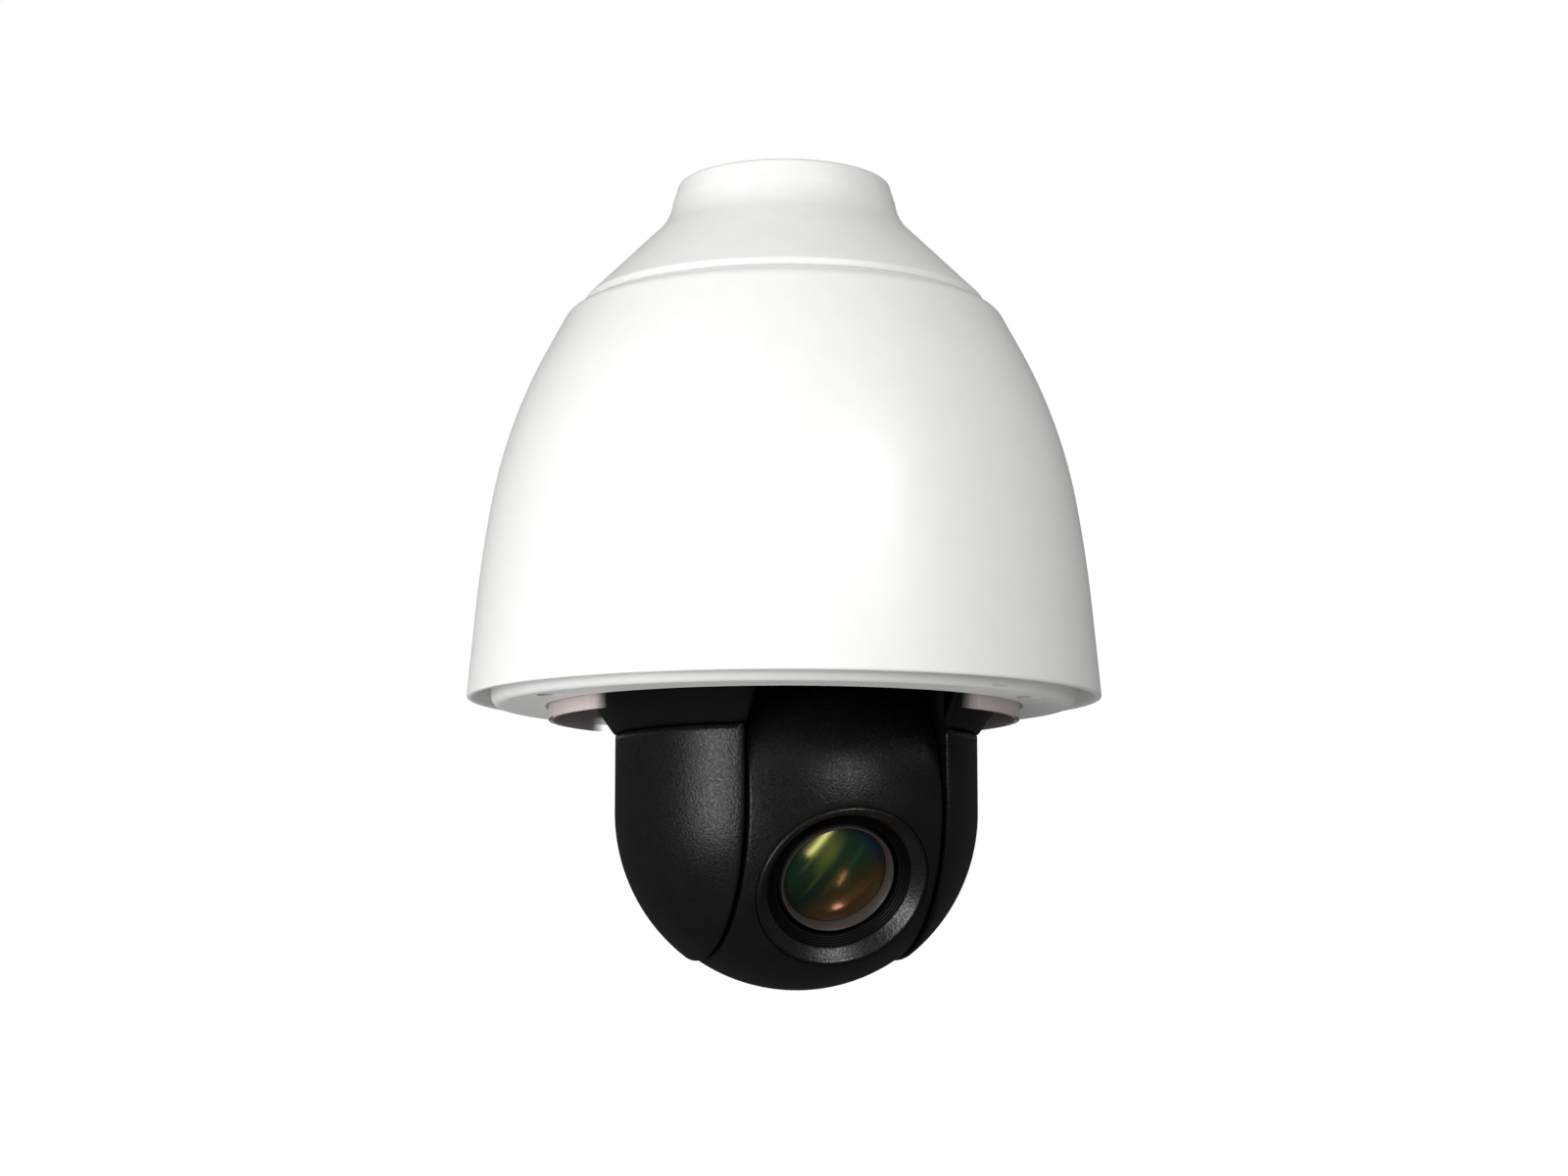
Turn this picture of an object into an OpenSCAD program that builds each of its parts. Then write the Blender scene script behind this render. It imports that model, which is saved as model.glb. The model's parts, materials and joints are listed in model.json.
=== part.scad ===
// Outdoor pan-tilt-zoom camera on a pendant pipe mount.
// Heights are measured from the sunshield's lower rim and moved to the mount at the end.
// The yoke's own frame has its x along the tilt axis and the lens facing -y.

/* [Housing] */
// Radius of the sunshield at its lower rim
rim_r = 110; // [109:0.5:112]
// Height of the neck's top face above the rim
neck_top = 184; // [183:0.5:188]
// Bore radius of the pipe thread in the neck
thread_r = 22.4; // [18:0.1:23]
// Wall of the sunshield
shield_wall = 2.5; // [2:0.1:3]
// Outer radius of the trim ring
ring_r = 101.5; // [101.5:0.5:103]
// Radius of the opening that the head turns in
opening_r = 82; // [81.5:0.1:83]

/* [Head] */
// Outer radius of the two arms
arm_r = 62.9; // [62.5:0.1:63.2]
// Radius of the tilting ball
ball_r = 61.3; // [60.8:0.1:61.5]
// Height of the tilt axis
tilt_z = -38.5; // [-40:0.5:-38]
// Lens direction about the vertical at rest
pan_rest = 19; // [0:1:45]
// Lens direction below the horizontal at rest
tilt_rest = 30; // [0:1:60]
// Outer radius of the lens barrel
barrel_r = 20.2; // [19.8:0.1:20.3]

/* [Drives] */
// Teeth on the big pan pulley
pan_teeth = 60; // [50:1:64]
// Teeth on the pan motor's pulley
pan_motor_teeth = 14; // [12:1:16]
// Teeth on the big tilt pulley
tilt_teeth = 36; // [30:1:36]
// Teeth on the tilt motor's pulley
tilt_motor_teeth = 12; // [10:1:13]
// Balls in the pan bearing
bearing_balls = 12; // [8:1:12]

/* [Hidden] */
$fn = 96;

white = "whitesmoke";
black = "#202122";
alloy = "#b4b8bb";
steel = "#8f959a";
rubber = "#161616";
board_green = "#1d5a34";
brass = "#b79a55";

// Housing heights and radii
can_r = 96;              // inner case, lower part
can_wall = 3;
can_top = 134;           // top face of the inner case
cap_seat = 135;          // foot of the neck cap, on its gasket
seam_z = 138;            // joint between the neck cap and the sunshield
cap_r = 70.8;            // lower edge of the neck cap
spigot_r = 66;           // part of the cap that passes through the sunshield
shield_seat_r = 70;      // raised rim of the case, which carries the sunshield's lip
cavity_z = 158;          // roof of the wiring space in the neck cap
cap_screw_at = 55;       // radius of the cap screw circle
ring_face = -2.5;        // underside of the trim ring
ring_plate = 3.8;        // upper face of the trim ring's plate
collar_z = -7.6;         // lower edge of the pale collar in the opening
flange_z = 4;            // lower face of the case flange
ring_screw_at = 92;      // radius of the captive screw circle
ring_screw_from = -27;   // angle of the first captive screw
chassis_r = 83;
chassis_z = 48;
plate = 3;
ledge = 5;
chassis_screw_at = 79.5;

// Pan drive
pan_pitch_r = 30;
pan_motor_r = 7;
pan_motor_x = 52;
pulley_z = 36;
pulley_h = 8;
belt = 1.3;
belt_gap = 0.35;
hub_r = 12;
hub_bore = 8.5;
hub_top = 84;
turntable_z = 25;
bearing_z = 52;
bearing_h = 9;
race_r = 16.25;          // circle of the balls
bearing_ball_r = 2.38;
stator_z = 88.3;
bracket_z = 104;
board_z = 108;
board_t = 1.6;

// Head
arm_x = 4.5;             // middle of the head, off the pan axis
gap_left = arm_x - 35.4; // inner face of the left arm
gap_right = arm_x + 35.4; // inner face of the right arm
ball_gap = 1.5;          // between an arm and the ball
arm_wall = 2.5;
arm_top = -12.5;         // joint between the arm covers and the skirt
skirt_r = 74.4;
skirt_z = 4;
frame_t = 2;
lens_x = arm_x;          // optical axis
ball_wall = 2.5;
hood_r = 26.4;           // round recess in the ball, in front of the lens
hood_back = 36;
bevel_z = 50.4;          // where the recess starts to open out
bevel_lean = 0.85;       // how fast it opens out
shaft_r = 4;
wire_shaft_r = 7;
tilt_pitch_r = 18;
tilt_motor_r = 6;
tilt_motor_z = 40.5;     // motor axis above the tilt axis
tilt_pulley_x = -52;
tilt_pulley_w = 6;
module_w = 46;
module_h = 52;
module_back = -38;
module_front = 20;
barrel_front = 46.2;
run = 0.05;              // running clearance on a shaft
snug = 0.1;              // between fixed parts

// Points on an arc about c, from angle a to angle b.
function arc(c, r, a, b, n = 12) =
    [for (i = [0:n]) c + r * [cos(a + (b - a) * i / n), sin(a + (b - a) * i / n)]];

// A plain ring: inner radius, outer radius, lower face, height.
module ring(r0, r1, z, h) {
    translate([0, 0, z])
        difference() {
            cylinder(r = r1, h = h);
            translate([0, 0, -1]) cylinder(r = r0, h = h + 2);
        }
}

module around(count, radius, from = 0) {
    for (i = [0:count - 1])
        rotate([0, 0, from + 360 * i / count]) translate([radius, 0, 0]) children();
}

// A cap screw pointing up, its head's underside at z = 0.
module screw_up(r, length, head_r, head_h) {
    difference() {
        union() {
            translate([0, 0, -head_h / 2]) cylinder(r = r, h = length + head_h / 2);
            translate([0, 0, -head_h]) cylinder(r = head_r, h = head_h);
        }
        translate([0, 0, -head_h - 0.01]) cylinder(r = head_r * 0.5, h = head_h * 0.6, $fn = 6);
    }
}

// A toothed pulley with square-cut teeth and no flanges.
module toothed(pitch_r, teeth, h, bore) {
    step = 360 / teeth;
    depth = 0.7;
    difference() {
        linear_extrude(h)
            polygon([for (i = [0:teeth - 1], k = [[0.06, -1], [0.16, 0], [0.66, 0], [0.76, -1]])
                (pitch_r + k[1] * depth)
                    * [cos((i + k[0]) * step), sin((i + k[0]) * step)]]);
        translate([0, 0, -1]) cylinder(r = bore, h = h + 2);
    }
}

// A flat belt round two pulleys, the second one at a distance along x.
module belt_loop(r0, r1, distance, h) {
    linear_extrude(h)
        difference() {
            hull() {
                circle(r = r0 + belt_gap + belt, $fn = 64);
                translate([distance, 0]) circle(r = r1 + belt_gap + belt, $fn = 32);
            }
            hull() {
                circle(r = r0 + belt_gap, $fn = 64);
                translate([distance, 0]) circle(r = r1 + belt_gap, $fn = 32);
            }
        }
}

// Upright cylinder above a half ball, its centre at the tilt axis.
module bullet(r, top) {
    rotate_extrude()
        polygon(concat([[0, -r]], [for (i = [1:24]) r * [cos(-90 + 3.75 * i), sin(-90 + 3.75 * i)]],
            [[r, top], [0, top]]));
}

// ---- placing ----
module to_row() { translate([0, 0, -neck_top]) children(); }
module yoke() { rotate([0, 0, pan_rest]) children(); }
module at_ball() { translate([0, 0, tilt_z]) rotate([tilt_rest, 0, 0]) children(); }
// Along the lens axis: z runs out of the lens, x along the tilt axis.
module optic() { at_ball() translate([lens_x, 0, 0]) rotate([90, 0, 0]) children(); }
// Along the tilt axis: z runs to the right arm, x runs up.
module along_tilt() { translate([0, 0, tilt_z]) rotate([0, 90, 0]) rotate([0, 0, 180]) children(); }

// ---- neck and shield ----
module neck_cap() {
    bend = arc([59.4, neck_top - 4.2], 20, 188, 224);
    color(white)
        difference() {
            union() {
                rotate_extrude()
                    polygon(concat([[thread_r, neck_top]],
                        arc([36, neck_top - 2], 2, 90, 0, 6), bend,
                        [[cap_r, seam_z + 2.4], [cap_r, seam_z + 0.5], [cap_r - 0.5, seam_z],
                         [spigot_r, seam_z], [spigot_r, cap_seat], [61, cap_seat], [61, 143.5],
                         [46, cavity_z], [thread_r, cavity_z]]));
                around(4, cap_screw_at, 45) translate([0, 0, cap_seat]) cylinder(r = 5, h = 15);
            }
            around(4, cap_screw_at, 45) translate([0, 0, cap_seat - 1]) cylinder(r = 2.6, h = 12.5);
            translate([0, 0, neck_top - 12]) rotate([-90, 0, 0]) cylinder(r = 2.55, h = 60);
        }
}

module pipe_lock_screw() {
    color(steel)
        translate([0, thread_r + 2.6, neck_top - 12]) rotate([-90, 0, 0])
            difference() {
                cylinder(r = 2.5, h = 13.5);
                translate([0, 0, 10.5]) cylinder(r = 1.4, h = 4, $fn = 6);
            }
}

module cap_gasket() { color(rubber) ring(61.2, spigot_r - 0.2, can_top, cap_seat - can_top); }

module cap_screws() {
    color(steel)
        around(4, cap_screw_at, 45)
            translate([0, 0, can_top - can_wall]) screw_up(2.5, 15, 4.5, 4);
}

// Outline of the sunshield, moved in by o: a straight skirt, two arcs and a round shoulder.
lean = [5.2, 9.7, 28, 62];
function shield_line(o) =
    let (foot_z = 30, r1 = 476, r2 = 181, r3 = 7,
         foot = [rim_r - foot_z * tan(lean[0]), foot_z],
         c1 = foot - r1 * [cos(lean[0]), sin(lean[0])],
         mid = c1 + r1 * [cos(lean[1]), sin(lean[1])],
         c2 = mid - r2 * [cos(lean[1]), sin(lean[1])],
         top = c2 + r2 * [cos(lean[2]), sin(lean[2])] + 13 * [-sin(lean[2]), cos(lean[2])],
         c3 = top - r3 * [cos(lean[2]), sin(lean[2])],
         last = c3 + (r3 - o) * [cos(lean[3]), sin(lean[3])],
         lip_z = seam_z - o)
    concat([[rim_r - o / cos(lean[0]), 0]],
        arc(c1, r1 - o, lean[0], lean[1], 6), arc(c2, r2 - o, lean[1], lean[2], 14),
        arc(c3, r3 - o, lean[2], lean[3], 6),
        [[last[0] - (lip_z - last[1]) * tan(lean[3]), lip_z], [spigot_r + 0.6, lip_z]]);

module sunshield() {
    inner = shield_line(shield_wall);
    color(white)
        rotate_extrude()
            polygon(concat(shield_line(0), [for (i = [len(inner) - 1:-1:0]) inner[i]]));
}

// ---- inner case ----
module housing_can() {
    w = can_wall;
    color(alloy)
        difference() {
            rotate_extrude()
                polygon([[84, flange_z], [99, flange_z], [99, flange_z + 5], [can_r, flange_z + 5],
                    [can_r, 52], [91, 84], [80, 112], [shield_seat_r, 131],
                    [shield_seat_r, seam_z - shield_wall], [spigot_r + 0.6, seam_z - shield_wall],
                    [spigot_r + 0.6, can_top], [18, can_top],
                    [18, can_top - w], [64.5, can_top - w], [77, 111], [88, 83],
                    [can_r - w, 51 + ledge], [76, 51 + ledge], [76, 51], [can_r - w, 51],
                    [can_r - w, flange_z + 5], [84, flange_z + 5]]);
            around(4, cap_screw_at, 45) translate([0, 0, can_top - 10]) cylinder(r = 2.7, h = 20);
            around(3, ring_screw_at, ring_screw_from)
                translate([0, 0, flange_z - 1]) cylinder(r = 2.05, h = 5.5);
            around(4, chassis_screw_at, 45) translate([0, 0, 50]) cylinder(r = 2.05, h = 5);
            ring(85.8, 88.2, flange_z - 1, 2.6);
        }
}

module cable_grommet() {
    color(rubber)
        rotate_extrude()
            polygon([[9, 129], [20, 129], [20, 130.9], [17.8, 130.9], [17.8, 134.1],
                [20, 134.1], [20, 136], [9, 136]]);
}

module trim_ring() {
    color(white)
        difference() {
            rotate_extrude()
                polygon(concat([[opening_r, ring_face + 1], [opening_r + 1, ring_face]],
                    arc([ring_r - 3, ring_face + 3], 3, -90, 0, 8),
                    [[ring_r, 14], [99.4, 14], [99.4, ring_plate], [opening_r + 1.8, ring_plate],
                     [opening_r + 1.8, 10], [opening_r, 10]]));
            around(3, ring_screw_at, ring_screw_from) {
                translate([0, 0, -4]) cylinder(r = 2.3, h = 10);
                translate([0, 0, -4]) cylinder(r = 4.5, h = 5);
            }
            rotate([0, 0, ring_screw_from - 19])
                translate([ring_r - 1.2, -4, ring_face - 1]) cube([4, 8, 2.4]);
        }
}

module ring_screws() {
    color(steel)
        around(3, ring_screw_at, ring_screw_from)
            translate([0, 0, 1]) screw_up(2, 6.8, 3.8, 2.8);
}

module ring_seal() { color(rubber) ring(86, 88, ring_plate, 1.7); }

// Pale collar round the head, held by the trim ring's inner edge.
module pan_seal() {
    inner = opening_r - 1.9;
    color("#cfc2bf")
        rotate_extrude()
            polygon([[inner, collar_z + 0.4], [inner + 0.4, collar_z], [opening_r - 0.7, collar_z],
                [opening_r - 0.3, collar_z + 0.4], [opening_r - 0.3, ring_face + 0.6],
                [opening_r, ring_face + 1.2], [opening_r, 9], [inner, 9]]);
}

// ---- chassis and electronics ----
module chassis_plate() {
    color(alloy)
        difference() {
            ring(22.5, chassis_r, chassis_z, plate);
            translate([pan_motor_x, 0, chassis_z - 1]) cylinder(r = 8, h = 5);
            translate([-50, 0, chassis_z - 1]) cylinder(r = 18, h = 5);
            around(4, chassis_screw_at, 45)
                translate([0, 0, chassis_z - 1]) cylinder(r = 2.2, h = 5);
        }
}

module chassis_screws() {
    color(steel)
        around(4, chassis_screw_at, 45) translate([0, 0, chassis_z]) screw_up(2, 6, 3.5, 3);
}

module bearing_housing() {
    color(alloy)
        rotate_extrude()
            polygon([[19, 51], [29, 51], [29, 54], [26, 54], [26, 61], [21, 61],
                [21, bearing_z], [19, bearing_z]]);
}

// One race of the pan bearing, grooved for the balls.
module race(r0, r1) {
    color(steel)
        difference() {
            ring(r0, r1, bearing_z, bearing_h);
            translate([0, 0, bearing_z + bearing_h / 2])
                rotate_extrude() translate([race_r, 0]) circle(r = bearing_ball_r + 0.07);
        }
}
module pan_bearing_outer() { race(17.6, 20.95); }
module pan_bearing_inner() { race(hub_r, 14.9); }

module pan_bearing_balls() {
    mid = bearing_z + bearing_h / 2;
    color(brass)
        difference() {
            ring(15.5, 17, mid - 3.2, 6.4);
            around(bearing_balls, race_r)
                translate([-5, 0, mid]) rotate([0, 90, 0]) cylinder(r = bearing_ball_r + 0.1, h = 10);
        }
    color(steel) around(bearing_balls, race_r) translate([0, 0, mid]) sphere(r = bearing_ball_r);
}

module pan_motor() {
    z = chassis_z + plate;
    color("#3a3c3e")
        translate([pan_motor_x, 0, z + 3])
            intersection() {
                translate([-17.5, -17.5, 0]) cube([35, 35, 20]);
                rotate([0, 0, 45]) translate([-22, -22, 0]) cube([44, 44, 20]);
            }
    color(alloy)
        difference() {
            translate([pan_motor_x - 17.5, -17.5, z]) cube([35, 35, 3]);
            translate([pan_motor_x, 0, z - 1]) cylinder(r = 2.5, h = 5);
        }
}

module pan_motor_pulley() {
    color(alloy)
        translate([pan_motor_x, 0, pulley_z]) toothed(pan_motor_r, pan_motor_teeth, pulley_h, 2.4);
    color(steel) translate([pan_motor_x, 0, pulley_z]) cylinder(r = 2.45, h = 17.8);
}

module pan_belt() {
    color(rubber) translate([0, 0, pulley_z + 1]) belt_loop(pan_pitch_r, pan_motor_r, pan_motor_x, 6);
}

module slip_ring_stator() {
    color("#2b2d30")
        difference() {
            union() {
                translate([0, 0, stator_z]) cylinder(r = 11, h = 12);
                translate([0, 0, 100.3]) cylinder(r = 15, h = bracket_z - 100.3);
            }
            translate([0, 0, stator_z - 1]) cylinder(r = 4, h = 30);
        }
}

module slip_ring_bracket() {
    color(alloy) {
        difference() {
            translate([-8, -38, bracket_z]) cube([16, 76, 2]);
            translate([0, 0, bracket_z - 1]) cylinder(r = 5, h = 4);
        }
        for (s = [-1, 1])
            translate([0, 34 * s, 51]) cylinder(r = 3, h = bracket_z - 51);
    }
}

module board_standoffs() {
    color(brass) around(4, 63.6, 45) translate([0, 0, 51]) cylinder(r = 3, h = board_z - 51);
}

module main_board() {
    color(board_green)
        difference() {
            translate([0, 0, board_z]) cylinder(r = 70, h = board_t);
            translate([0, 0, board_z - 1]) cylinder(r = 6, h = 4);
        }
}

module board_chips() {
    z = board_z + board_t;
    color("#1a1b1d") {
        translate([-34, -32, z]) cube([22, 22, 2.2]);
        translate([-36, 4, z]) cube([16, 12, 1.6]);
        for (i = [0:3]) translate([-52 + 9 * i, 34 - 3 * i, z]) cube([7, 5, 1.4]);
        translate([14, -44, z]) cube([18, 14, 10]);
    }
    color("#34404c")
        for (p = [[-8, -50], [-24, -48], [50, 18], [50, 32], [34, 46]])
            translate([p[0], p[1], z]) cylinder(r = 4.5, h = 11);
}

module ethernet_jack() {
    z = board_z + board_t;
    color(steel)
        difference() {
            translate([-8, 40, z]) cube([16, 21, 13.5]);
            translate([-6, 50, z + 2]) cube([12, 12, 9]);
        }
}

module terminal_block() {
    z = board_z + board_t;
    color("#2f8f4e")
        difference() {
            translate([22, -22, z]) cube([11, 36, 12]);
            for (i = [0:5]) {
                translate([25.5, -19 + 6 * i, z + 7]) cylinder(r = 2, h = 6);
                translate([30, -19 + 6 * i, z + 4]) rotate([0, 90, 0]) cylinder(r = 1.8, h = 6);
            }
        }
}

module fan_frame() {
    color("#242628")
        translate([-50, 0, 51]) {
            difference() {
                translate([-20, -20, 0]) cube([40, 40, 10]);
                translate([0, 0, -1]) cylinder(r = 18.5, h = 12);
                for (x = [-16, 16], y = [-16, 16])
                    translate([x, y, -1]) cylinder(r = 1.7, h = 12);
            }
            for (a = [0:120:240])
                rotate([0, 0, a]) translate([0, -1.5, 8.6]) cube([18.6, 3, 1.3]);
            translate([0, 0, 8.5]) cylinder(r = 7, h = 1.5);
        }
}

module fan_rotor() {
    color("#303336")
        translate([-50, 0, 51.6]) {
            cylinder(r = 8.5, h = 6.4);
            for (a = [0:360 / 7:359])
                rotate([0, 0, a])
                    translate([8, 0, 3.1]) rotate([38, 0, 0])
                        translate([0, -0.5, -3.4]) cube([9.5, 1, 6.6]);
        }
}

module heater_block() {
    color(alloy)
        difference() {
            translate([-20, 42, 51]) cube([40, 20, 15]);
            for (i = [0:6]) translate([-18.2 + 5.6 * i, 41, 55]) cube([2.8, 22, 12]);
        }
}

// ---- pan ----
module pan_hub() {
    color(alloy)
        difference() {
            union() {
                translate([0, 0, turntable_z + plate]) cylinder(r = 22, h = plate);
                translate([0, 0, turntable_z + plate])
                    cylinder(r = hub_r - run, h = hub_top - turntable_z - plate);
            }
            translate([0, 0, 20]) cylinder(r = hub_bore, h = 70);
        }
}

module pan_pulley() {
    color(alloy)
        translate([0, 0, pulley_z]) toothed(pan_pitch_r, pan_teeth, pulley_h, hub_r);
}

module pan_turntable() {
    color(black)
        translate([arm_x, 0, turntable_z])
            difference() {
                cylinder(r = skirt_r - 0.4, h = plate);
                translate([-arm_x, 0, -1]) cylinder(r = hub_bore, h = 5);
            }
}

module pan_skirt() {
    w = 2.4;
    color(black)
        translate([arm_x, 0, 0])
            difference() {
                rotate_extrude()
                    polygon([[arm_r, arm_top], [skirt_r, skirt_z], [skirt_r, turntable_z],
                        [skirt_r - w, turntable_z], [skirt_r - w, skirt_z + 1],
                        [arm_r - arm_wall, arm_top]]);
                translate([gap_left - arm_x, -90, arm_top - 1])
                    cube([gap_right - gap_left, 180, 22]);
            }
}

module slip_ring_rotor() {
    color("#4a4d50") {
        ring(4.2, 8.3, 74, 14);
        ring(8.3, 9.8, hub_top, 4);
    }
}

// ---- arms ----
module yoke_plates() {
    from = [gap_left - frame_t, gap_right];
    color(alloy)
        for (s = [0, 1])
            difference() {
                union() {
                    intersection() {
                        translate([arm_x, 0, tilt_z])
                            bullet(arm_r - arm_wall - snug, turntable_z - tilt_z);
                        translate([from[s], -70, -110])
                            cube([frame_t, 140, 110 + turntable_z]);
                    }
                    translate([s == 0 ? gap_left - 16 : gap_right, -18, turntable_z - 2])
                        cube([16, 36, 2]);
                    intersection() {
                        cover_screw_places() translate([0, 0, -9.5]) cylinder(r = 4, h = 7.4);
                        translate([s == 0 ? gap_left - 40 : gap_right, -70, -110])
                            cube([40, 140, 140]);
                    }
                }
                translate([from[s] - 1, 0, tilt_z]) rotate([0, 90, 0])
                    cylinder(r = (s == 0 ? 7 : 10) + snug, h = 4);
                cover_screw_places() translate([0, 0, -8.5]) cylinder(r = 1.6, h = 20);
            }
}

// An arm's outer shell, cut from the bullet on one side.
module arm_shell(from, to) {
    color(black)
        difference() {
            intersection() {
                translate([arm_x, 0, tilt_z]) bullet(arm_r, arm_top - tilt_z - 0.2);
                translate([from, -70, -120]) cube([to - from, 140, 140]);
            }
            translate([arm_x, 0, tilt_z]) bullet(arm_r - arm_wall, 60);
            cover_screw_places() translate([0, 0, -9]) cylinder(r = 1.6, h = 20);
            cover_screw_places() translate([0, 0, -1.2]) cylinder(r = 3, h = 6);
        }
}
module arm_cover_left() { arm_shell(-70, gap_left); }
module arm_cover_right() { arm_shell(gap_right, 80); }

// Cover screws sit on the rear of each arm, square to the curved wall.
module cover_screw_places() {
    for (a = [134, 46], p = [[-20, 0], [tilt_z, 24]])
        translate([arm_x, 0, p[0]]) rotate([0, p[1], a]) translate([arm_r - 0.6, 0, 0])
            rotate([0, 90, 0]) children();
}

module arm_cover_screws() {
    color(steel)
        cover_screw_places()
            difference() {
                union() {
                    translate([0, 0, -7]) cylinder(r = 1.5, h = 7);
                    translate([0, 0, -1.2]) cylinder(r = 2.8, h = 1.3);
                }
                translate([0, 0, -0.7]) cylinder(r = 1.2, h = 2, $fn = 6);
            }
}

module tilt_motor() {
    up = tilt_z + tilt_motor_z;
    foot_x = gap_left - frame_t - 2;
    color("#3a3c3e")
        translate([-45.5, 0, up]) rotate([0, 90, 0])
            difference() {
                cylinder(r = 12, h = foot_x + 45.5);
                translate([0, 0, -1]) cylinder(r = 2, h = 8);
            }
    color(alloy) translate([foot_x, -15, up - 13]) cube([2, 30, 26]);
}

module tilt_belt() {
    color(rubber)
        translate([tilt_pulley_x + 0.7, 0, 0]) along_tilt()
            belt_loop(tilt_pitch_r, tilt_motor_r, tilt_motor_z, tilt_pulley_w - 1.4);
}

// Round bush with a collar inside the arm; the shaft runs in it.
module bush(at, side, bore, outer) {
    color("#e4e1d8")
        translate([at, 0, tilt_z]) rotate([0, 90 * side, 0])
            difference() {
                union() {
                    translate([0, 0, -0.4]) cylinder(r = outer, h = 6.8);
                    translate([0, 0, frame_t]) cylinder(r = outer + 2, h = 1.5);
                }
                translate([0, 0, -2]) cylinder(r = bore + run, h = 12);
            }
}
module tilt_bush_left() { bush(gap_left, -1, shaft_r, 7); }
module tilt_bush_right() { bush(gap_right, 1, wire_shaft_r, 10); }

module tilt_driver_board() {
    x = gap_right + frame_t + 5.6;
    color(board_green)
        difference() {
            translate([x, -12, -24]) cube([1.6, 24, 30]);
            for (z = [-20, 2]) translate([x - 1, 0, z]) rotate([0, 90, 0]) cylinder(r = 1.4, h = 4);
        }
    color("#1a1b1d") translate([x - 1.4, -5, -14]) cube([1.4, 10, 10]);
    color(alloy)
        for (z = [-20, 2])
            translate([gap_right + frame_t, 0, z]) rotate([0, 90, 0]) cylinder(r = 1.3, h = 7.6);
}

module tilt_motor_pulley() {
    color(alloy)
        translate([tilt_pulley_x, 0, tilt_motor_z]) along_tilt()
            toothed(tilt_motor_r, tilt_motor_teeth, tilt_pulley_w, 1.9);
    color(steel)
        translate([tilt_pulley_x, 0, tilt_motor_z]) along_tilt()
            cylinder(r = 1.95, h = 12.4);
}

// ---- ball ----
// Hollow ball between its two flat sides; half is 1 for the lens side and -1 for the rear.
module ball_half(half) {
    x0 = gap_left + ball_gap;
    x1 = gap_right - ball_gap;
    at_ball()
        intersection() {
            difference() {
                intersection() {
                    translate([arm_x, 0, 0]) sphere(r = ball_r);
                    translate([x0, -70, -70]) cube([x1 - x0, 140, 140]);
                }
                intersection() {
                    translate([arm_x, 0, 0]) sphere(r = ball_r - ball_wall);
                    translate([x0 + 2, -70, -70]) cube([x1 - x0 - 4, 140, 140]);
                }
                translate([x0 - 1, 0, 0]) rotate([0, 90, 0]) cylinder(r = shaft_r + snug, h = 5);
                translate([x1 - 3, 0, 0]) rotate([0, 90, 0])
                    cylinder(r = wire_shaft_r + snug, h = 5);
            }
            translate([-80, half > 0 ? -70.06 : 0.06, -80]) cube([160, 70, 160]);
        }
}

// The two screws of the front shell, under the lens.
module ball_screw_places() {
    for (s = [-1, 1]) {
        x = lens_x - arm_x + 22 * s;
        out = [x, -sqrt(ball_r * ball_r - x * x - 34 * 34), -34] / ball_r;
        at_ball() translate([arm_x, 0, 0] + ball_r * out)
            rotate([0, acos(out[2]), atan2(out[1], out[0])]) children();
    }
}

module ball_front() {
    color(black)
        difference() {
            union() {
                ball_half(1);
                intersection() {
                    optic() translate([0, 0, hood_back]) cylinder(r = hood_r + 2, h = 40);
                    at_ball() translate([arm_x, 0, 0]) sphere(r = ball_r);
                }
            }
            optic() {
                cylinder(r = hood_r, h = 80);
                translate([0, 0, bevel_z])
                    cylinder(r1 = hood_r, r2 = hood_r + 12 * bevel_lean, h = 12);
            }
            ball_screw_places() {
                translate([0, 0, -8]) cylinder(r = 1.3, h = 20);
                translate([0, 0, -1]) cylinder(r = 2.2, h = 5);
            }
        }
}
module ball_rear() { color(black) ball_half(-1); }

module ball_screws() {
    color(rubber)
        ball_screw_places()
            difference() {
                union() {
                    translate([0, 0, -6]) cylinder(r = 1.2, h = 5.1);
                    translate([0, 0, -1]) cylinder(r = 2.1, h = 0.8);
                }
                translate([0, 0, -0.6]) cylinder(r = 0.9, h = 2, $fn = 6);
            }
}

module tilt_shaft_left() {
    color(steel)
        translate([0, 0, tilt_z]) rotate([0, 90, 0]) {
            translate([0, 0, tilt_pulley_x - 1]) cylinder(r = shaft_r, h = 32);
            translate([0, 0, gap_left + ball_gap + 2]) cylinder(r = 11, h = 2);
        }
}

module tilt_shaft_right() {
    x = gap_right - ball_gap - 4;
    color(steel)
        translate([0, 0, tilt_z]) rotate([0, 90, 0])
            difference() {
                union() {
                    translate([0, 0, x]) cylinder(r = wire_shaft_r, h = 12.2);
                    translate([0, 0, x]) cylinder(r = 13, h = 2);
                }
                translate([0, 0, x - 1]) cylinder(r = 4.5, h = 16);
            }
}

module tilt_pulley() {
    color(alloy)
        translate([tilt_pulley_x, 0, 0]) along_tilt()
            toothed(tilt_pitch_r, tilt_teeth, tilt_pulley_w, shaft_r + 0.02);
}

module camera_bracket() {
    x0 = gap_left + ball_gap + 4;
    x1 = gap_right - ball_gap - 4;
    foot = -module_h / 2 - 1.8;
    color(alloy)
        at_ball()
            difference() {
                union() {
                    translate([x0, -15, foot]) cube([1.5, 33, 43]);
                    translate([x1 - 1.5, -15, foot]) cube([1.5, 33, 43]);
                    translate([x0, -15, foot]) cube([x1 - x0, 33, 1.8]);
                }
                translate([x1 - 3, 0, 0]) rotate([0, 90, 0]) cylinder(r = 5, h = 5);
                translate([x0 - 1, 0, 0]) rotate([0, 90, 0]) cylinder(r = shaft_r + snug, h = 5);
            }
}

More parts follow.
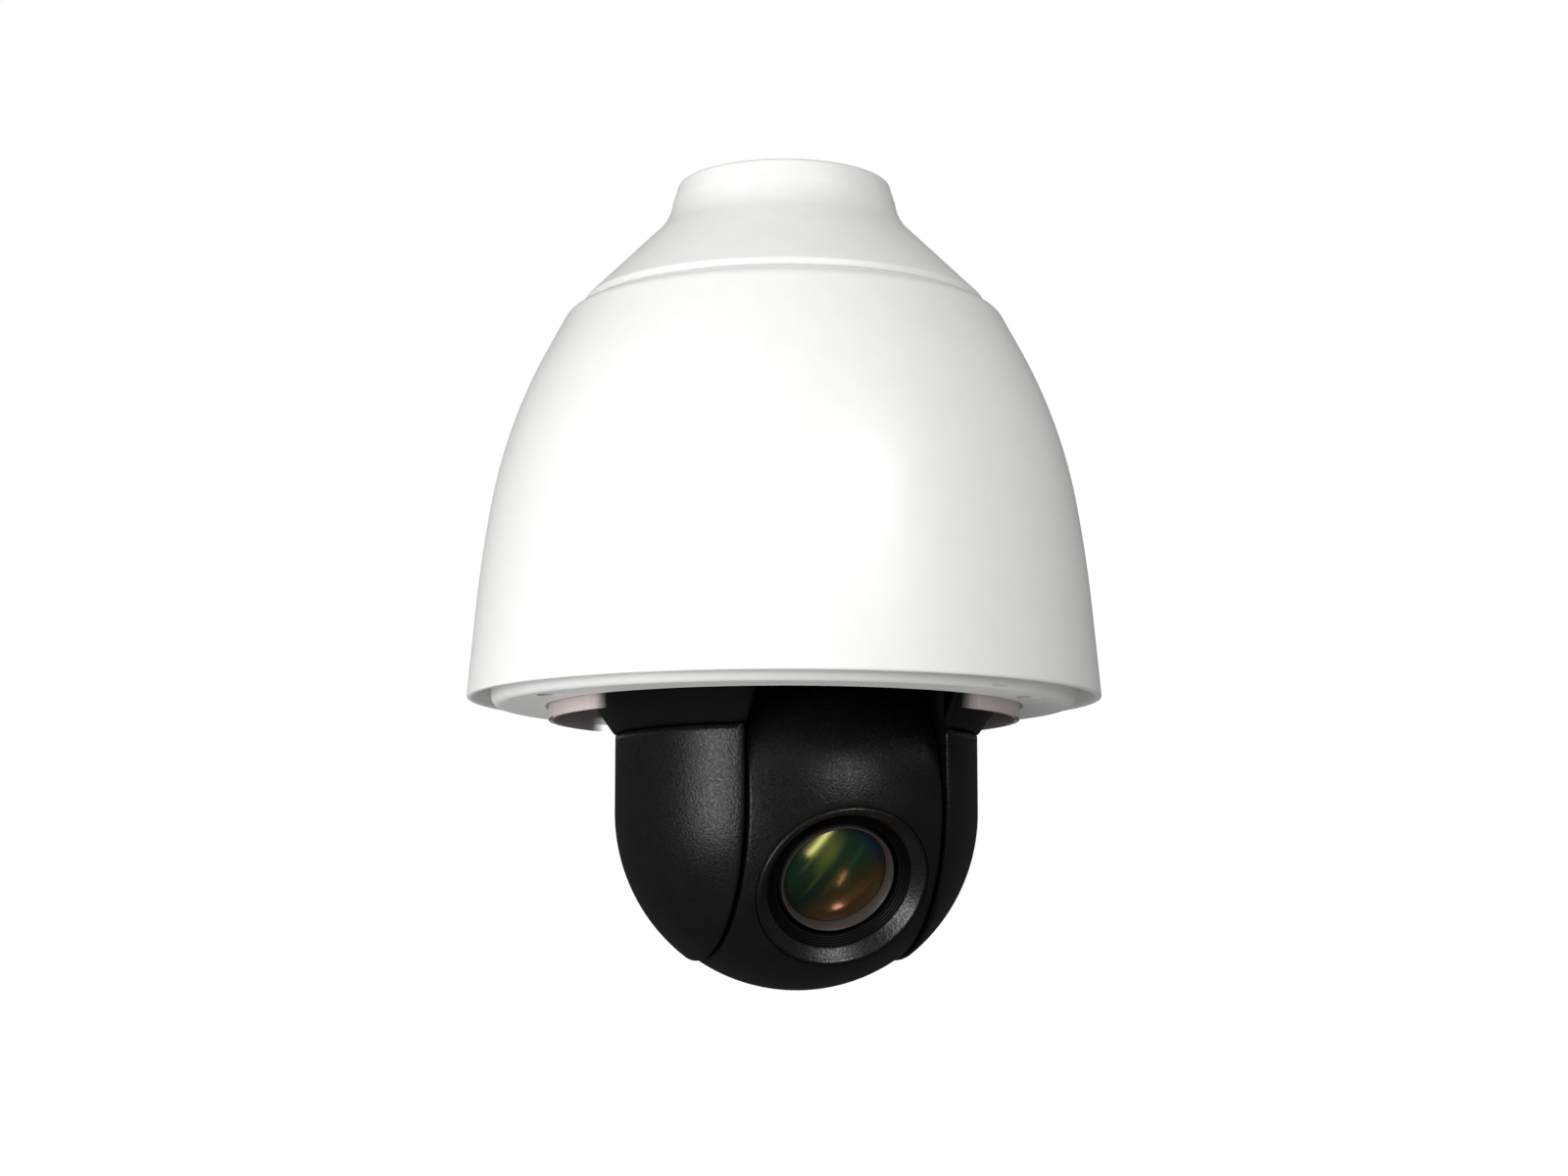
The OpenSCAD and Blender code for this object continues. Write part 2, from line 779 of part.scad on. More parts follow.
// ---- camera ----
module camera_body() {
    w = 2;
    color("#2c2e31")
        optic()
            difference() {
                translate([-module_w / 2, -module_h / 2, module_back])
                    cube([module_w, module_h, module_front - module_back]);
                translate([-module_w / 2 + w, -module_h / 2 + w, module_back + w])
                    cube([module_w - 2 * w, module_h - 2 * w, module_front - module_back - 2 * w]);
                translate([0, 0, module_front - 3]) cylinder(r = 17, h = 5);
            }
    color(board_green)
        optic() translate([-19, -21, module_back + w + 2]) cube([38, 42, 1.6]);
    color("#20303c")
        optic() translate([-6, -5, module_back + w + 3]) cube([12, 10, 2.4]);
    color(steel)
        optic() {
            for (y = [-18, 18])
                translate([0, y, module_back + w + 3])
                    cylinder(r = 1.2, h = module_front - module_back - 2 * w - 2);
            for (x = [-17, 17], y = [-19, 19])
                translate([x, y, module_back + 1]) cylinder(r = 1.5, h = 4);
        }
}

module lens_barrel() {
    color("#17181a")
        optic()
            difference() {
                translate([0, 0, module_front]) cylinder(r = barrel_r, h = barrel_front - module_front);
                translate([0, 0, module_front - 1]) cylinder(r = 16, h = 40);
                translate([0, 0, barrel_front - 4]) cylinder(r = 18.6, h = 10);
            }
}

// The dark ring between the ball's opening and the lens: a shallow funnel with five ridges.
module lens_hood() {
    bore = barrel_r + 1.1;
    step = (hood_r - 0.7 - bore) / 5;
    color("#101112")
        optic()
            rotate_extrude()
                polygon(concat([[bore, hood_back], [hood_r - snug, hood_back],
                    [hood_r - snug, bevel_z], [hood_r - 0.6, bevel_z]],
                    [for (i = [0:4], k = [[0, -0.9], [0.55, -0.9], [0.55, -0.45]])
                        [hood_r - 0.6 - (i + k[0]) * step, bevel_z + k[1] - 0.28 * i]],
                    [[bore, bevel_z - 1.85]]));
}

// Its inner edge is a wide chamfer that runs down to the glass.
module lens_front_ring() {
    outer = barrel_r + 0.6;
    color("#9c9490")
        optic()
            rotate_extrude()
                polygon([[18.8, barrel_front], [outer, barrel_front], [outer, barrel_front + 2.4],
                    [outer - 0.3, barrel_front + 2.7], [18.8, barrel_front + 0.9]]);
}

// Front element: a shallow meniscus, convex to the outside.
module front_glass() {
    bulge = 40;
    color([0.2, 0.45, 0.3, 0.5])
        optic()
            intersection() {
                translate([0, 0, barrel_front - 4]) cylinder(r = 18.5, h = 10);
                translate([0, 0, barrel_front + 3.4 - bulge]) sphere(r = bulge);
            }
}

module lens_carrier(z, r, h, glass_r) {
    color("#2a2c2f")
        difference() {
            union() {
                translate([0, 0, z]) cylinder(r = r, h = h);
                translate([-3, -20.5, z]) cube([6, 41, h]);
            }
            translate([0, 0, z - 1]) cylinder(r = glass_r, h = h + 2);
            for (y = [-18, 18]) translate([0, y, z - 1]) cylinder(r = 1.2 + run, h = h + 2);
        }
    color([0.3, 0.4, 0.55, 0.5])
        intersection() {
            translate([0, 0, z + 1]) cylinder(r = glass_r + 0.3, h = h - 2);
            translate([0, 0, z + h - 1 - 3 * glass_r]) sphere(r = 3 * glass_r);
        }
}
module zoom_group() { optic() lens_carrier(0, 13, 7, 10.5); }
module focus_group() { optic() lens_carrier(-20, 11, 6, 8.5); }

module ir_filter() {
    color("#7c2f38")
        optic() translate([-8, -7, -28]) cube([16, 14, 1.5]);
}

to_row() neck_cap();
to_row() pipe_lock_screw();
to_row() cap_gasket();
to_row() cap_screws();
to_row() sunshield();
to_row() housing_can();
to_row() cable_grommet();
to_row() trim_ring();
to_row() ring_screws();
to_row() ring_seal();
to_row() pan_seal();
to_row() chassis_plate();
to_row() chassis_screws();
to_row() bearing_housing();
to_row() pan_bearing_outer();
to_row() pan_motor();
to_row() pan_belt();
to_row() slip_ring_stator();
to_row() slip_ring_bracket();
to_row() main_board();
to_row() board_chips();
to_row() ethernet_jack();
to_row() terminal_block();
to_row() board_standoffs();
to_row() fan_frame();
to_row() heater_block();
to_row() fan_rotor();
to_row() pan_bearing_balls();
to_row() pan_motor_pulley();
to_row() yoke() pan_hub();
to_row() pan_bearing_inner();
to_row() yoke() pan_pulley();
to_row() yoke() pan_turntable();
to_row() yoke() pan_skirt();
to_row() yoke() slip_ring_rotor();
to_row() yoke() yoke_plates();
to_row() yoke() arm_cover_left();
to_row() yoke() arm_cover_right();
to_row() yoke() arm_cover_screws();
to_row() yoke() tilt_motor();
to_row() yoke() tilt_belt();
to_row() yoke() tilt_bush_left();
to_row() yoke() tilt_bush_right();
to_row() yoke() tilt_driver_board();
to_row() yoke() tilt_motor_pulley();
to_row() yoke() ball_front();
to_row() yoke() ball_rear();
to_row() yoke() ball_screws();
to_row() yoke() tilt_shaft_left();
to_row() yoke() tilt_shaft_right();
to_row() yoke() tilt_pulley();
to_row() yoke() camera_bracket();
to_row() yoke() camera_body();
to_row() yoke() lens_barrel();
to_row() yoke() lens_hood();
to_row() yoke() lens_front_ring();
to_row() yoke() front_glass();
to_row() yoke() zoom_group();
to_row() yoke() focus_group();
to_row() yoke() ir_filter();
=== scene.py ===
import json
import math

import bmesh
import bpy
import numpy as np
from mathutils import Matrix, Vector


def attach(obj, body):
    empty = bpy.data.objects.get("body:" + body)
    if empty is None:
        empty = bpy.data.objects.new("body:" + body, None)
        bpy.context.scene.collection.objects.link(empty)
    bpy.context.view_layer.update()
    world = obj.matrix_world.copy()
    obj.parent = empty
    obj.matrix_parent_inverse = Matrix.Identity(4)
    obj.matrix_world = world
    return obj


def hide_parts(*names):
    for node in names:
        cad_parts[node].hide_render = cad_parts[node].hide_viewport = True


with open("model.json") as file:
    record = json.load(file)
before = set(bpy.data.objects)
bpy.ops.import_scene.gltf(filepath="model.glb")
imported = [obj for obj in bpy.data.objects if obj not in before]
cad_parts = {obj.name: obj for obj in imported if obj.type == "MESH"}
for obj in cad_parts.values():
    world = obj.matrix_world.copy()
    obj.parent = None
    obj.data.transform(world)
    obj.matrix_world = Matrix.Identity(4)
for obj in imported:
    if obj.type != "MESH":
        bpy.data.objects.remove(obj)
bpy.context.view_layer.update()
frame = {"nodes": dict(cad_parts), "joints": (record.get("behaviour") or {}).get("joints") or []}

# %% [markdown]
# # An outdoor pan-tilt-zoom camera
# The camera hangs from a pipe. A white bell of a housing carries a black head that pans,
# and between the head's two arms a ball with the zoom lens tilts. The machine inside is
# finished already, so this file only makes the skins, the glass, the finishes and the light.
# Every skin is a formula on a grid: numpy works out all its points at once, and Blender
# gets them as one mesh. Lengths are in millimetres here and become metres in the mesh.

MM = 0.001
nodes = frame["nodes"]
joints = {j["name"]: j for j in frame["joints"]}

UP = np.array([0.0, 0.0, 1.0])
ALONG = np.array(joints["tilt"]["axis"])          # along the tilt axis, to the right arm
ALONG /= np.linalg.norm(ALONG)
LOOK = np.array(joints["zoom_travel"]["axis"])    # out of the lens
LOOK /= np.linalg.norm(LOOK)
LENS_UP = np.cross(LOOK, ALONG)
LEVEL = np.cross(ALONG, UP)                       # the yoke's level front
TILT_POINT = np.array(joints["tilt"]["pos_m"]) / MM


def reach(node, direction, origin=(0, 0, 0)):
    """How far a node of the frame reaches along a direction: the lowest and highest value."""
    flat = np.empty(len(nodes[node].data.vertices) * 3)
    nodes[node].data.vertices.foreach_get("co", flat)
    along = (flat.reshape(-1, 3) / MM - np.array(origin)) @ np.array(direction)
    return along.min(), along.max()


left_tip, left_face = reach("arm_cover_left", ALONG)
right_face, right_tip = reach("arm_cover_right", ALONG)
arm_r = (right_tip - left_tip) / 2
arm_x = (right_tip + left_tip) / 2
ball_left, ball_right = reach("ball_front", ALONG)
ball_r = reach("ball_rear", -LOOK, TILT_POINT)[1]
lens_x = sum(reach("lens_front_ring", ALONG)) / 2
rim_r = reach("sunshield", (1, 0, 0))[1]
rim_z = reach("sunshield", UP)[0]
print(f"arms R {arm_r:.1f} about x {arm_x:.1f}, ball R {ball_r:.1f}, lens axis at x {lens_x:.1f}")

# Each frame is an origin and the directions of its own x, y and z.
HOUSING = (np.array([0.0, 0.0, rim_z]), np.eye(3))
YOKE = (TILT_POINT, np.array([ALONG, -LEVEL, UP]))
LENS = (TILT_POINT + lens_x * ALONG, np.array([ALONG, LENS_UP, LOOK]))

# %% [markdown]
# ## Helpers for surfaces
# A surface is a grid of points, and a neighbour in either direction shares a face. Grids
# that meet edge to edge are joined by merging their doubled points, which also closes the
# poles, where a whole row of the grid falls on one point.

# %% Making a mesh from grids
def grid_faces(rows, columns, wrap, start):
    """Quads between neighbours of a rows by columns grid; wrap joins the last column to the first."""
    index = start + np.arange(rows * columns).reshape(rows, columns)
    if wrap:
        index = np.hstack([index, index[:, :1]])
    corners = [index[:-1, :-1], index[1:, :-1], index[1:, 1:], index[:-1, 1:]]
    return np.stack([c.ravel() for c in corners], 1)


def make_piece(name, grids, place, body, stands_for=None, wall=None, sharp=32):
    """One mesh from several grids, each (points, wraps). A wall gives the skin its thickness."""
    origin, axes = place
    points, faces, count = [], [], 0
    for grid, wrap in grids:
        faces.append(grid_faces(grid.shape[0], grid.shape[1], wrap, count))
        points.append((origin + grid.reshape(-1, 3) @ axes) * MM)
        count += len(points[-1])
    mesh = bpy.data.meshes.new(name)
    mesh.from_pydata(np.concatenate(points), [], np.concatenate(faces))
    clean(mesh)
    mesh.shade_smooth()
    mesh.set_sharp_from_angle(angle=math.radians(sharp))
    piece = bpy.data.objects.new(name, mesh)
    bpy.context.scene.collection.objects.link(piece)
    if wall:
        thick = piece.modifiers.new("wall", "SOLIDIFY")
        thick.thickness = wall * MM
        thick.offset = -1
    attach(piece, body)
    if stands_for:
        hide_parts(*stands_for)
    print(f"{name}: {len(mesh.polygons)} faces")
    return piece


def clean(mesh):
    """Merges doubled points, which closes poles and seams, and turns every face outwards."""
    work = bmesh.new()
    work.from_mesh(mesh)
    bmesh.ops.remove_doubles(work, verts=work.verts, dist=2e-6)
    bmesh.ops.dissolve_degenerate(work, edges=work.edges, dist=1e-7)
    bmesh.ops.recalc_face_normals(work, faces=work.faces)
    work.to_mesh(mesh)
    work.free()


# %% Profiles
def arc(centre, radius, start, stop, count=8):
    """Points on a circle about a centre, from one angle to another, in degrees."""
    angle = np.radians(np.linspace(start, stop, count))
    return np.array(centre) + radius * np.stack([np.cos(angle), np.sin(angle)], 1)


def soften(corners, radius, closed=True, steps=5, least=25):
    """Each corner that turns by more than a few degrees becomes a small round: a parabola
    from a point before the corner to a point after it, drawn towards the corner itself."""
    corners = np.array(corners, float)
    before, after = np.roll(corners, 1, 0), np.roll(corners, -1, 0)
    done = []
    for i, (a, b, c) in enumerate(zip(before, corners, after)):
        into, out = b - a, c - b
        turn = abs(math.degrees(math.atan2(into[0] * out[1] - into[1] * out[0], into @ out)))
        if turn < least or (not closed and i in (0, len(corners) - 1)):
            done.append(b[None])
            continue
        p = b - into * min(0.45, radius / np.linalg.norm(into))
        q = b + out * min(0.45, radius / np.linalg.norm(out))
        t = np.linspace(0, 1, steps)[:, None]
        done.append((1 - t) ** 2 * p + 2 * t * (1 - t) * b + t ** 2 * q)
    return np.concatenate(done)


def lathe(profile, count=192, closed=True):
    """A profile of (radius, height) turned about z: x = r cos a, y = r sin a, z = h."""
    profile = np.array(profile, float)
    if closed:
        profile = np.vstack([profile, profile[:1]])
    angle = np.linspace(0, 2 * np.pi, count, endpoint=False)
    r, h = profile[:, :1], profile[:, 1:]
    grid = np.stack([r * np.cos(angle), r * np.sin(angle), h + 0 * angle], 2)
    return grid, True


# %% [markdown]
# ## The camera and the light
# A long lens from just below the rim, pitched up a little, sees the bell's underside and
# the whole head. One broad lamp in front lights the white shell. A tall softbox on the left
# draws the line down the left arm, and one on the right lights the top of the ball.

# %% Camera, softboxes, floor
def softbox(name, azimuth, height, distance, size, power, aim=(0, 0, -0.16), shines=True,
            lights=True, colour=(1, 1, 1), turn=0):
    """A rectangular lamp at an azimuth from the front (degrees, + to the right), aimed at the
    camera and turned about its own axis. One that doesn't shine lights surfaces but isn't
    seen in them; one that doesn't light is only seen in glossy surfaces."""
    lamp = bpy.data.lights.new(name, "AREA")
    lamp.shape = "RECTANGLE"
    lamp.size, lamp.size_y = size
    lamp.energy = power
    side = math.radians(azimuth)
    stand = bpy.data.objects.new(name, lamp)
    stand.location = (distance * math.sin(side), -distance * math.cos(side), height)
    stand.rotation_euler = (Vector(aim) - stand.location).to_track_quat("-Z", "Y").to_euler()
    stand.rotation_euler.rotate_axis("Z", math.radians(turn))
    stand.visible_glossy, stand.visible_diffuse = shines, lights
    lamp.color = colour
    bpy.context.scene.collection.objects.link(stand)
    return stand


lens = bpy.data.cameras.new("camera")
lens.lens, lens.sensor_width = 62.2, 36
camera = bpy.data.objects.new("camera", lens)
camera.location = (0, -0.941, -0.2685)
camera.rotation_euler = (math.radians(90 + 7.52), 0, 0)
bpy.context.scene.collection.objects.link(camera)
bpy.context.scene.camera = camera
bpy.context.scene.view_settings.view_transform = "Standard"

softbox("broad_key", -17, 0.15, 2.0, (1.2, 1.0), 17.6, shines=False)
softbox("left_softbox", -51, -0.17, 1.5, (0.45, 0.90), 9.4)
softbox("right_softbox", 33, 0.52, 1.4, (0.56, 0.38), 6.8, aim=(0, 0, -0.22))
floor_bounce = softbox("floor_bounce", -55, -1.0, 0.6, (1.2, 1.2), 5.4, shines=False)

world = bpy.data.worlds.new("studio")
world.use_nodes = True
bpy.context.scene.world = world


def world_light(shine=0.05, fill=0.33):
    """White where the background is seen, a soft fill on matt surfaces, and almost dark in
    reflections, so that only the softboxes show in the black parts."""
    tree = world.node_tree
    tree.nodes.clear()
    out = tree.nodes.new("ShaderNodeOutputWorld")
    seen, lights = tree.nodes.new("ShaderNodeBackground"), tree.nodes.new("ShaderNodeBackground")
    for background in (seen, lights):
        background.inputs["Color"].default_value = (1, 1, 1, 1)
    path, mix = tree.nodes.new("ShaderNodeLightPath"), tree.nodes.new("ShaderNodeMixShader")
    amount = tree.nodes.new("ShaderNodeMath")
    amount.operation = "MULTIPLY_ADD"
    amount.inputs[1].default_value, amount.inputs[2].default_value = fill - shine, shine
    tree.links.new(path.outputs["Is Diffuse Ray"], amount.inputs[0])
    tree.links.new(amount.outputs[0], lights.inputs["Strength"])
    tree.links.new(path.outputs["Is Camera Ray"], mix.inputs[0])
    tree.links.new(lights.outputs[0], mix.inputs[1])
    tree.links.new(seen.outputs[0], mix.inputs[2])
    tree.links.new(mix.outputs[0], out.inputs[0])


world_light()
floor_z, floor_half = -1.2, 30
floor_mesh = bpy.data.meshes.new("floor")
floor_mesh.from_pydata([(x * floor_half, y * floor_half, floor_z)
                        for x, y in ((-1, -1), (1, -1), (1, 1), (-1, 1))], [], [(0, 1, 2, 3)])
floor = bpy.data.objects.new("floor", floor_mesh)
bpy.context.scene.collection.objects.link(floor)
floor.visible_glossy = floor.visible_diffuse = floor.visible_transmission = False

# %% [markdown]
# ## Finishes
# Every finish starts from the same few nodes: noise on Object coordinates, a ramp for the
# roughness, and a bump. The numbers that are the same all over a surface are set on the
# shader itself.

# %% Shader helpers
class Finish:
    """A material with one Principled shader, and short words for the nodes around it."""

    def __init__(self, name, **constants):
        self.material = bpy.data.materials.new(name)
        self.material.use_nodes = True
        self.tree = self.material.node_tree
        self.shader = self.tree.nodes["Principled BSDF"]
        for socket, value in constants.items():
            self.shader.inputs[socket.replace("_", " ")].default_value = value
        self.place = self.tree.nodes.new("ShaderNodeTexCoord").outputs["Object"]

    def link(self, source, target):
        self.tree.links.new(source, target)

    def noise(self, size, detail=2.0):
        """Noise whose features are about size millimetres across."""
        node = self.tree.nodes.new("ShaderNodeTexNoise")
        node.inputs["Scale"].default_value = 1 / (size * MM)
        node.inputs["Detail"].default_value = detail
        self.link(self.place, node.inputs["Vector"])
        return node.outputs["Fac"]

    def ramp(self, value, low, high, start=0.3, stop=0.7):
        """Maps start..stop of a value to low..high, which are numbers or colours."""
        node = self.tree.nodes.new("ShaderNodeValToRGB")
        for element, at, colour in zip(node.color_ramp.elements, (start, stop), (low, high)):
            element.position = at
            element.color = (*colour, 1) if hasattr(colour, "__len__") else (colour,) * 3 + (1,)
        self.link(value, node.inputs["Fac"])
        return node.outputs["Color"]

    def bump(self, value, height, normal=None):
        """A bump that stands height millimetres proud where the value is 1. Given the normal
        of another bump, it lies on top of that one."""
        node = self.tree.nodes.new("ShaderNodeBump")
        node.inputs["Distance"].default_value = height * MM
        node.inputs["Strength"].default_value = 1.0
        self.link(value, node.inputs["Height"])
        if normal:
            self.link(normal, node.inputs["Normal"])
        self.link(node.outputs["Normal"], self.shader.inputs["Normal"])
        return node.outputs["Normal"]

    def blend(self, factor, a, b, how="MIX"):
        """Two colours, each a socket or three numbers, blended by a factor."""
        node = self.tree.nodes.new("ShaderNodeMix")
        node.data_type, node.blend_type = "RGBA", how
        for put, value in ((node.inputs[0], factor), (node.inputs[6], a), (node.inputs[7], b)):
            if hasattr(value, "node"):
                self.link(value, put)
            else:
                put.default_value = (*value, 1) if hasattr(value, "__len__") else value
        return node.outputs[2]

    def along(self, direction, origin):
        """How far a point lies along a direction from an origin, in units of the direction."""
        less = self.tree.nodes.new("ShaderNodeVectorMath")
        less.operation = "SUBTRACT"
        less.inputs[1].default_value = tuple(np.array(origin) * MM)
        dot = self.tree.nodes.new("ShaderNodeVectorMath")
        dot.operation = "DOT_PRODUCT"
        dot.inputs[1].default_value = tuple(np.array(direction) / MM)
        self.link(self.place, less.inputs[0])
        self.link(less.outputs["Vector"], dot.inputs[0])
        return dot.outputs["Value"]

    def scaled(self, value, times, plus=0.0):
        """value * times + plus"""
        node = self.tree.nodes.new("ShaderNodeMath")
        node.operation = "MULTIPLY_ADD"
        node.inputs[1].default_value, node.inputs[2].default_value = times, plus
        self.link(value, node.inputs[0])
        return node.outputs[0]

    def socket(self, name):
        return self.shader.inputs[name]


def finish_of(name, colour, rough, grain, height, shift=0.12, spread=0.06, metal=0.0, **constants):
    """The everyday finish: a colour that varies a little, a roughness that varies, a fine bump."""
    f = Finish(name, Metallic=metal, **constants)
    dark = [c * (1 - shift) for c in colour]
    light = [min(1, c * (1 + shift)) for c in colour]
    f.link(f.ramp(f.noise(9, 3), dark, light), f.socket("Base Color"))
    f.link(f.ramp(f.noise(4, 3), rough - spread, rough + spread), f.socket("Roughness"))
    f.bump(f.noise(grain), height)
    return f.material


def grained(name, colour, rough, shine=0.37):
    """Spark-eroded black plastic: coarse and fine grains in the bump, and a roughness that
    follows the coarse grains, so single grains glint in a highlight."""
    f = Finish(name, Specular_IOR_Level=shine)
    coarse, fine = f.noise(0.85, 1.5), f.noise(0.45, 2)
    f.link(f.ramp(f.noise(9, 3), [c * 0.85 for c in colour], [c * 1.15 for c in colour]),
           f.socket("Base Color"))
    f.link(f.ramp(coarse, rough - 0.07, rough + 0.09, 0.35, 0.65), f.socket("Roughness"))
    f.bump(fine, 0.06, normal=f.bump(coarse, 0.12))
    return f.material


# %% The finishes themselves
white_coat = finish_of("white_powder_coat", (0.80, 0.80, 0.79), 0.42, 0.9, 0.010, 0.015, 0.03)
shell_white = finish_of("white_shell", (0.82, 0.82, 0.81), 0.36, 0.7, 0.006, 0.012, 0.03)
black_grain = grained("black_grained_plastic", (0.0068, 0.0066, 0.0063), 0.325)
black_bevel = grained("black_grained_bevel", (0.0072, 0.0072, 0.0070), 0.34, 0.80)
black_plain = finish_of("black_smooth_plastic", (0.007, 0.007, 0.007), 0.42, 0.3, 0.006, 0.1, 0.04,
                        Specular_IOR_Level=0.25)
hood_black = finish_of("black_flocked_hood", (0.004, 0.004, 0.004), 0.5, 0.25, 0.01, 0.1, 0.05,
                       Specular_IOR_Level=0.25)
silicone = finish_of("pale_silicone", (0.60, 0.50, 0.48), 0.48, 0.8, 0.01, 0.05, 0.05,
                     Subsurface_Weight=0.3)
steel = finish_of("screw_steel", (0.52, 0.53, 0.55), 0.30, 0.15, 0.004, 0.06, 0.06, 1.0)
blackened = finish_of("blackened_steel", (0.03, 0.03, 0.03), 0.40, 0.15, 0.004, 0.1, 0.05, 0.8)
cast = finish_of("cast_aluminium", (0.56, 0.57, 0.58), 0.48, 0.8, 0.03, 0.06, 0.08, 1.0)
turned = finish_of("machined_aluminium", (0.66, 0.67, 0.68), 0.28, 0.2, 0.006, 0.05, 0.06, 1.0)
black_paint = finish_of("black_painted_plate", (0.011, 0.011, 0.011), 0.5, 0.5, 0.008, 0.1, 0.05)
rubber = finish_of("gasket_rubber", (0.012, 0.012, 0.012), 0.68, 0.5, 0.02, 0.2, 0.06)
motor_black = finish_of("motor_paint", (0.022, 0.022, 0.024), 0.38, 0.4, 0.008, 0.1, 0.06)
moulding = finish_of("dark_moulding", (0.018, 0.018, 0.020), 0.46, 0.4, 0.012, 0.12, 0.05)
mask_green = finish_of("circuit_board", (0.012, 0.085, 0.034), 0.30, 2.4, 0.01, 0.25, 0.06)
chip_black = finish_of("chip_resin", (0.012, 0.012, 0.013), 0.44, 0.2, 0.006, 0.1, 0.05)
jack_plate = finish_of("plated_steel", (0.60, 0.61, 0.62), 0.22, 0.2, 0.003, 0.04, 0.05, 1.0)
terminal_green = finish_of("terminal_plastic", (0.02, 0.22, 0.07), 0.40, 0.5, 0.008, 0.1, 0.05)
brass = finish_of("turned_brass", (0.66, 0.47, 0.19), 0.26, 0.2, 0.004, 0.06, 0.06, 1.0)
bush_white = finish_of("bush_plastic", (0.62, 0.60, 0.54), 0.45, 0.4, 0.008, 0.06, 0.05)
ring_metal = finish_of("lens_ring_anodised", (0.085, 0.071, 0.062), 0.42, 0.12, 0.003, 0.05, 0.05, 0.4)
clear_glass = finish_of("front_glass", (0.93, 0.98, 0.95), 0.02, 3, 0.0004, 0.01, 0.015,
                        Transmission_Weight=1.0, IOR=1.55, Thin_Film_Thickness=600, Thin_Film_IOR=1.9)
filter_glass = finish_of("infrared_filter", (0.55, 0.20, 0.26), 0.05, 2, 0.0005, 0.03, 0.02,
                         Transmission_Weight=0.8, IOR=1.52)
floor_white = finish_of("floor_white", (0.86, 0.86, 0.86), 0.8, 40, 0.1, 0.01, 0.02,
                        Emission_Color=(1, 1, 1, 1), Emission_Strength=1.0)
floor_mesh.materials.append(floor_white)

# %% [markdown]
# ## The finishes on the frame's own pieces
# Most of the machine keeps the shapes the frame brings. Each piece only changes its skin:
# the slot it had is replaced by a finish from above.

# %% Giving finishes to nodes
def wear(finish, *names):
    """Gives nodes of the frame one finish."""
    for name in names:
        slots = nodes[name].data.materials
        slots.clear()
        slots.append(finish)


wear(white_coat, "trim_ring", "neck_cap")
wear(shell_white, "sunshield")
wear(cast, "housing_can", "chassis_plate", "bearing_housing", "heater_block", "slip_ring_bracket")
wear(turned, "pan_hub", "pan_pulley", "tilt_pulley", "pan_motor_pulley", "tilt_motor_pulley",
     "camera_bracket")
wear(black_paint, "yoke_plates", "pan_turntable")
wear(black_plain, "pan_skirt", "lens_barrel")
wear(black_grain, "arm_cover_left", "arm_cover_right", "ball_front", "ball_rear")
wear(hood_black, "lens_hood")
wear(silicone, "pan_seal")
wear(steel, "pipe_lock_screw", "cap_screws", "ring_screws", "chassis_screws", "tilt_shaft_left",
     "tilt_shaft_right", "pan_bearing_outer", "pan_bearing_inner", "pan_bearing_balls")
wear(blackened, "ball_screws", "arm_cover_screws")
wear(rubber, "cap_gasket", "ring_seal", "cable_grommet", "pan_belt", "tilt_belt")
wear(motor_black, "pan_motor", "tilt_motor")
wear(moulding, "slip_ring_stator", "slip_ring_rotor", "fan_frame", "fan_rotor", "camera_body",
     "zoom_group", "focus_group")
wear(mask_green, "main_board", "tilt_driver_board")
wear(chip_black, "board_chips")
wear(jack_plate, "ethernet_jack")
wear(terminal_green, "terminal_block")
wear(brass, "board_standoffs")
wear(bush_white, "tilt_bush_left", "tilt_bush_right")
wear(ring_metal, "lens_front_ring")
wear(clear_glass, "front_glass")
wear(filter_glass, "ir_filter")
print(len(nodes), "nodes have a finish")

# %% [markdown]
# ## The sunshield
# The bell is moulded in one piece: a skirt that leans in a little, a long curve, a tighter
# one, and a round shoulder. A sharp rim would look like cut card, so the outline's corners
# are rounded before it is turned on the lathe.

# %% Sunshield
shield_wall = 2.5
seam_z = reach("neck_cap", UP)[0] - rim_z + 3.0      # the cap's spigot dips 3 below the seam
print(f"joint between bell and cap at {seam_z:.1f} above the rim")


def shield_line(inset):
    """A lean of 5.2 degrees up to 30, an arc of 476, an arc of 181, a short straight, a round
    shoulder of 7 and a top that falls inwards to the cap; all moved in by inset."""
    lean = (5.2, 9.7, 28, 62)
    ray = [np.array([math.cos(math.radians(a)), math.sin(math.radians(a))]) for a in lean]
    foot = np.array([rim_r - 30 * math.tan(math.radians(lean[0])), 30])
    c1 = foot - 476 * ray[0]
    c2 = c1 + (476 - 181) * ray[1]
    top = c2 + 181 * ray[2] + 13 * np.array([-ray[2][1], ray[2][0]])
    c3 = top - 7 * ray[2]
    last = c3 + (7 - inset) * ray[3]
    lip_z = seam_z - inset
    lip_r = last[0] - (lip_z - last[1]) * math.tan(math.radians(lean[3]))
    return np.vstack([
        [rim_r - inset / math.cos(math.radians(lean[0])), 0],
        arc(c1, 476 - inset, lean[0], lean[1], 12), arc(c2, 181 - inset, lean[1], lean[2], 24),
        arc(c3, 7 - inset, lean[2], lean[3], 8), [[lip_r, lip_z], [66.6, lip_z]]])


bell = np.vstack([shield_line(0), shield_line(shield_wall)[::-1]])
sunshield = make_piece("sunshield_skin", [lathe(soften(bell, 1.1, least=20), 288)], HOUSING,
                       "housing", ["sunshield"])
sunshield.data.materials.append(shell_white)

# %% [markdown]
# ## The neck cap
# A casting with a round collar, a hollow curve and a cone. Its bore holds the pipe thread:
# the radius follows a triangle wave that climbs one pitch in each turn, and it runs out
# into a plain lead-in at both ends.

